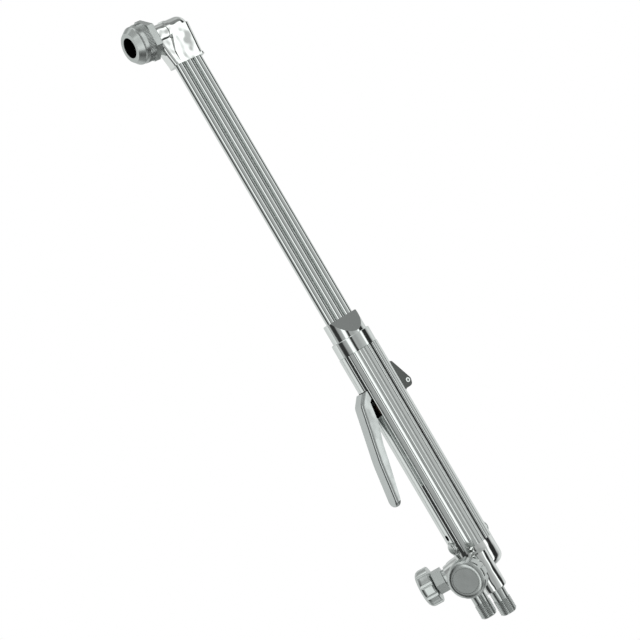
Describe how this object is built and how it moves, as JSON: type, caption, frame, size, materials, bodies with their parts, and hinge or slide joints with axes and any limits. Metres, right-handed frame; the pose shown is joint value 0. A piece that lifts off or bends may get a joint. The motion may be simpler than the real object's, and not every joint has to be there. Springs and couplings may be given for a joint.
{
  "type": "hand cutting torch",
  "caption": "Hand-held oxy-fuel cutting torch: right-angle head on three tubes, fluted grip with a squeeze lever, two knobbed gas valves and two threaded hose inlets.",
  "frame": {"origin": "centre of the hand grip, on the handle's axis, midway along its length", "axes": "+X from the cutting head back to the hose inlets, +Z towards the lever bracket, so the tip nut, the lever and the valve knobs are on the -Z side; +Y is the fuel gas side"},
  "size_m": [0.557, 0.0878, 0.0775],
  "materials": {
    "nickel": "forged, polished and nickel plated",
    "tube": "polished stainless tube",
    "nut": "satin nickel plate",
    "ferrule": "polished nickel plate",
    "handle": "fluted, polished nickel plate",
    "bracket": "pressed steel, dull",
    "pin": "bright steel",
    "lever": "pressed sheet, polished nickel plate",
    "body": "forged, polished and nickel plated",
    "fitting": "machined, nickel plated threads",
    "knob": "cast, satin nickel plate",
    "brass": "machined brass",
    "copper": "drawn copper tube, stated as brass because the list has no copper",
    "stainless": "turned stainless steel",
    "packing": "pressed PTFE packing",
    "rubber": "seat disc"
  },
  "bodies": {
    "torch": {"head": "nickel", "tube_top": "tube", "tube_middle": "tube", "tube_bottom": "tube", "front_ferrule": "ferrule", "front_block": "brass", "collar_ring": "ferrule", "handle_shell": "handle", "lever_bracket": "bracket", "lever_pin": "pin", "cutting_valve_body": "brass", "plunger_packing": "packing", "plunger_gland_nut": "brass", "valve_cap": "brass", "cutting_valve_spring": "stainless", "cutting_supply_pipe": "copper", "cutting_delivery_pipe": "copper", "preheat_oxygen_pipe": "copper", "fuel_pipe": "copper", "rear_body": "body", "handle_screws": "pin", "oxygen_inlet": "fitting", "oxygen_packing": "packing", "oxygen_packing_nut": "nut", "fuel_inlet": "fitting", "fuel_packing": "packing", "fuel_packing_nut": "nut"},
    "tip_nut": {"tip_nut": "nut"},
    "lever": {"lever": "lever", "lever_arm": "lever"},
    "plunger": {"cutting_plunger": "stainless", "valve_poppet": "stainless", "valve_seat_disc": "rubber"},
    "oxygen_stem": {"oxygen_stem": "stainless"},
    "oxygen_knob": {"oxygen_knob": "knob", "oxygen_knob_screw": "pin", "oxygen_knob_cap": "knob"},
    "fuel_stem": {"fuel_stem": "stainless"},
    "fuel_knob": {"fuel_knob": "knob", "fuel_knob_screw": "pin", "fuel_knob_cap": "knob"}
  },
  "joints": [
    {"name": "lever_squeeze", "type": "hinge", "parent": "torch", "child": "lever", "pos_m": [-0.0492, 0, 0.0234], "axis": [0, -1, 0], "range_deg": [0, 7], "stiffness_Nm_per_rad": 6, "springref_deg": -8.59},
    {"name": "plunger_push", "type": "slide", "parent": "torch", "child": "plunger", "axis": [1, 0, 0], "range_m": [0, 0.0029], "deforming": ["cutting_valve_spring"]},
    {"name": "tip_nut_turn", "type": "hinge", "parent": "torch", "child": "tip_nut", "pos_m": [-0.3898, 0, -0.03], "axis": [0, 0, -1], "continuous": true},
    {"name": "oxygen_stem_lift", "type": "slide", "parent": "torch", "child": "oxygen_stem", "axis": [0, -0.6157, -0.788], "range_m": [0, 0.002]},
    {"name": "oxygen_knob_turn", "type": "hinge", "parent": "oxygen_stem", "child": "oxygen_knob", "pos_m": [0.1046, 0, 0], "axis": [0, -0.6157, -0.788], "range_deg": [0, 724]},
    {"name": "fuel_stem_lift", "type": "slide", "parent": "torch", "child": "fuel_stem", "axis": [0, 0.6157, -0.788], "range_m": [0, 0.002]},
    {"name": "fuel_knob_turn", "type": "hinge", "parent": "fuel_stem", "child": "fuel_knob", "pos_m": [0.1046, 0, 0], "axis": [0, 0.6157, -0.788], "range_deg": [0, 724]}
  ],
  "couplings": [
    {"joint": "plunger_push", "follows": "lever_squeeze", "m_per_rad": 0.0234},
    {"joint": "oxygen_knob_turn", "follows": "oxygen_stem_lift", "rad_per_m": 6283.2},
    {"joint": "fuel_knob_turn", "follows": "fuel_stem_lift", "rad_per_m": 6283.2}
  ]
}
